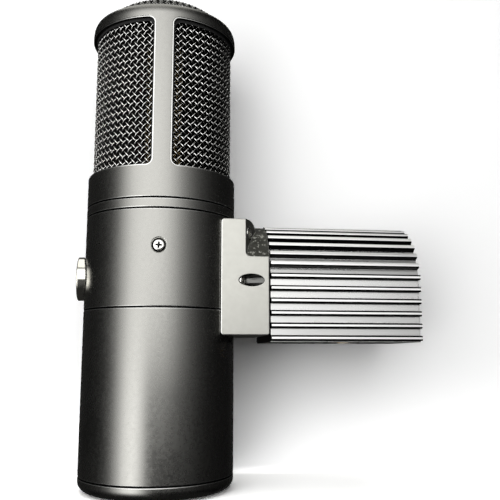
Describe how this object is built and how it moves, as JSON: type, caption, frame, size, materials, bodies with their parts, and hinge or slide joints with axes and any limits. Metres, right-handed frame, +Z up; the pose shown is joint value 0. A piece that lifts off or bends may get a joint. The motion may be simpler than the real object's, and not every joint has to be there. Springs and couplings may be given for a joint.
{
  "type": "ribbon microphone",
  "caption": "Side-address ribbon microphone: cylindrical body, windowed woven-wire head with domed top, and a finned swivel block that takes a stand thread.",
  "frame": {"origin": "middle of the whole assembly's footprint box, level with the microphone's flat base face; the axis of the round body is at x = -0.0322", "axes": "+Z up the body towards the domed grille; +X from the body out along the finned stand mount; -X is the front, where the badge is; -Y and +Y face the two head struts"},
  "size_m": [0.1242, 0.0552, 0.1825],
  "materials": {
    "gunmetal_paint": "satin dark grey metallic coat",
    "woven_wire": "bare woven wire",
    "dark_screen": "fine black screen",
    "fin_alloy": "satin grey anodised",
    "polished_badge": "polished, slightly warm",
    "screw_steel": "bright plated",
    "brass": "satin",
    "magnet": "nickel plated, dull",
    "soft_iron": "bare",
    "foil": "bare foil",
    "nylon": "natural",
    "black_plastic": "moulded",
    "rubber": "matt",
    "board": "lacquered glass-fibre board",
    "winding_tape": "taped winding",
    "red_lead": "insulated wire",
    "chassis_metal": "zinc plated"
  },
  "bodies": {
    "microphone": {"badge": "polished_badge", "base_cap": "gunmetal_paint", "body_screw_front": "screw_steel", "body_screw_rear": "screw_steel", "bracket_screw_1": "screw_steel", "bracket_screw_2": "screw_steel", "bracket_screw_3": "screw_steel", "bracket_screw_4": "screw_steel", "chassis_rail_front": "chassis_metal", "chassis_rail_rear": "chassis_metal", "circuit_board": "board", "collar_ring": "gunmetal_paint", "grille_dome": "woven_wire", "grille_mesh": "woven_wire", "head_deck": "chassis_metal", "head_frame": "gunmetal_paint", "inner_screen": "dark_screen", "isolator_front": "rubber", "isolator_rear": "rubber", "lead_lower": "red_lead", "lead_upper": "red_lead", "lock_nut": "screw_steel", "lower_body_sleeve": "gunmetal_paint", "lower_mesh_ring": "gunmetal_paint", "magnet_front": "magnet", "magnet_rear": "magnet", "motor_base": "chassis_metal", "motor_side_front": "brass", "motor_side_rear": "brass", "motor_yoke_lower": "chassis_metal", "motor_yoke_upper": "chassis_metal", "mount_bracket": "gunmetal_paint", "pivot_shaft": "screw_steel", "pole_piece_front": "soft_iron", "pole_piece_rear": "soft_iron", "ribbon": "foil", "ribbon_clamp_lower": "nylon", "ribbon_clamp_upper": "nylon", "transformer_core": "soft_iron", "transformer_strap": "chassis_metal", "transformer_winding": "winding_tape", "upper_body_sleeve": "gunmetal_paint", "upper_mesh_ring": "gunmetal_paint", "xlr_insert": "black_plastic", "xlr_pin_1": "brass", "xlr_pin_2": "brass", "xlr_pin_3": "brass", "xlr_shell": "screw_steel"},
    "stand_mount": {"finned_housing": "fin_alloy", "friction_washer": "black_plastic", "pivot_bush_inner": "nylon", "pivot_bush_outer": "nylon", "thrust_washer": "screw_steel", "spring_washer": "screw_steel", "end_cap": "gunmetal_paint", "thread_insert": "brass", "thread_reducer": "screw_steel"}
  },
  "joints": [
    {"name": "stand_swivel", "type": "hinge", "parent": "microphone", "child": "stand_mount", "pos_m": [0.0065, 0, 0.0745], "axis": [1, 0, 0], "range_deg": [-135, 135]}
  ]
}
